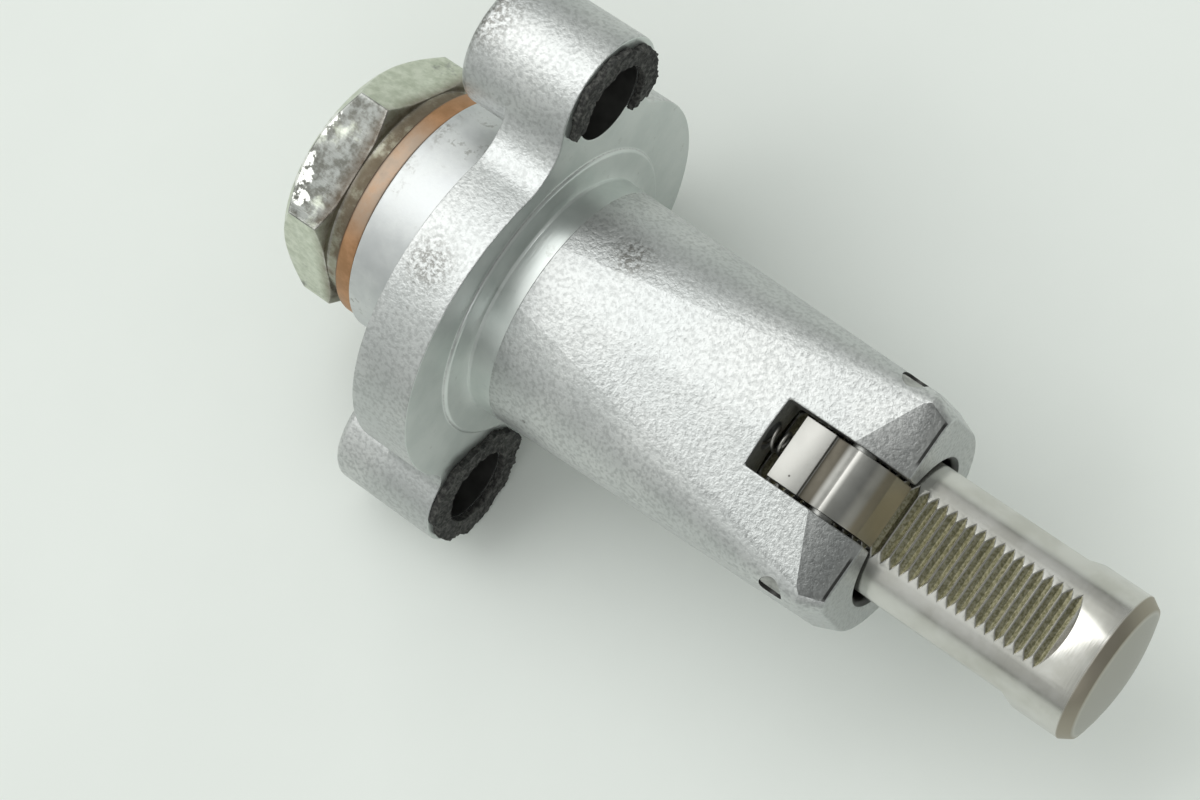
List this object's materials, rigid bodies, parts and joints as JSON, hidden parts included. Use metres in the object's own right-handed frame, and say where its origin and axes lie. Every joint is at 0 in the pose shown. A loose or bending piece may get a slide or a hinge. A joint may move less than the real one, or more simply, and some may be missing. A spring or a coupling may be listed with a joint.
{
  "type": "timing chain tensioner",
  "caption": "Spring-loaded timing chain tensioner: cast two-bolt housing, toothed push rod held by a ratchet pawl, hex cap bolt with copper washer.",
  "frame": {"origin": "on the push rod's axis, in the plane of the flange's mounting face", "axes": "+X along the push rod towards its tip, +Z towards the pawl and the toothed side of the rod"},
  "size_m": [0.0713, 0.0393, 0.0324],
  "materials": {
    "cast_aluminium": "satin",
    "ground_steel": "polished",
    "satin_steel": "satin",
    "spring_steel": "satin",
    "zinc_plated_steel": "satin",
    "copper": "satin",
    "gasket_paper": "matte"
  },
  "bodies": {
    "housing": {"tensioner_body": "cast_aluminium", "pawl_pivot_pin": "spring_steel", "pawl_spring": "spring_steel", "main_spring": "spring_steel", "cap_bolt": "zinc_plated_steel", "sealing_washer": "copper", "upper_gasket": "gasket_paper", "lower_gasket": "gasket_paper"},
    "rod": {"push_rod": "ground_steel"},
    "pawl": {"ratchet_pawl": "satin_steel"}
  },
  "joints": [
    {"name": "rod_slide", "type": "slide", "parent": "housing", "child": "rod", "axis": [1, 0, 0], "range_m": [-0.01469, 0.0049], "deforming": ["main_spring"]},
    {"name": "pawl_pivot", "type": "hinge", "parent": "housing", "child": "pawl", "pos_m": [0.0292, 0, 0.0072], "axis": [0, -1, 0], "range_deg": [0, 9], "stiffness_Nm_per_rad": 0.02, "springref_deg": -5.73, "deforming": ["pawl_spring"]}
  ]
}
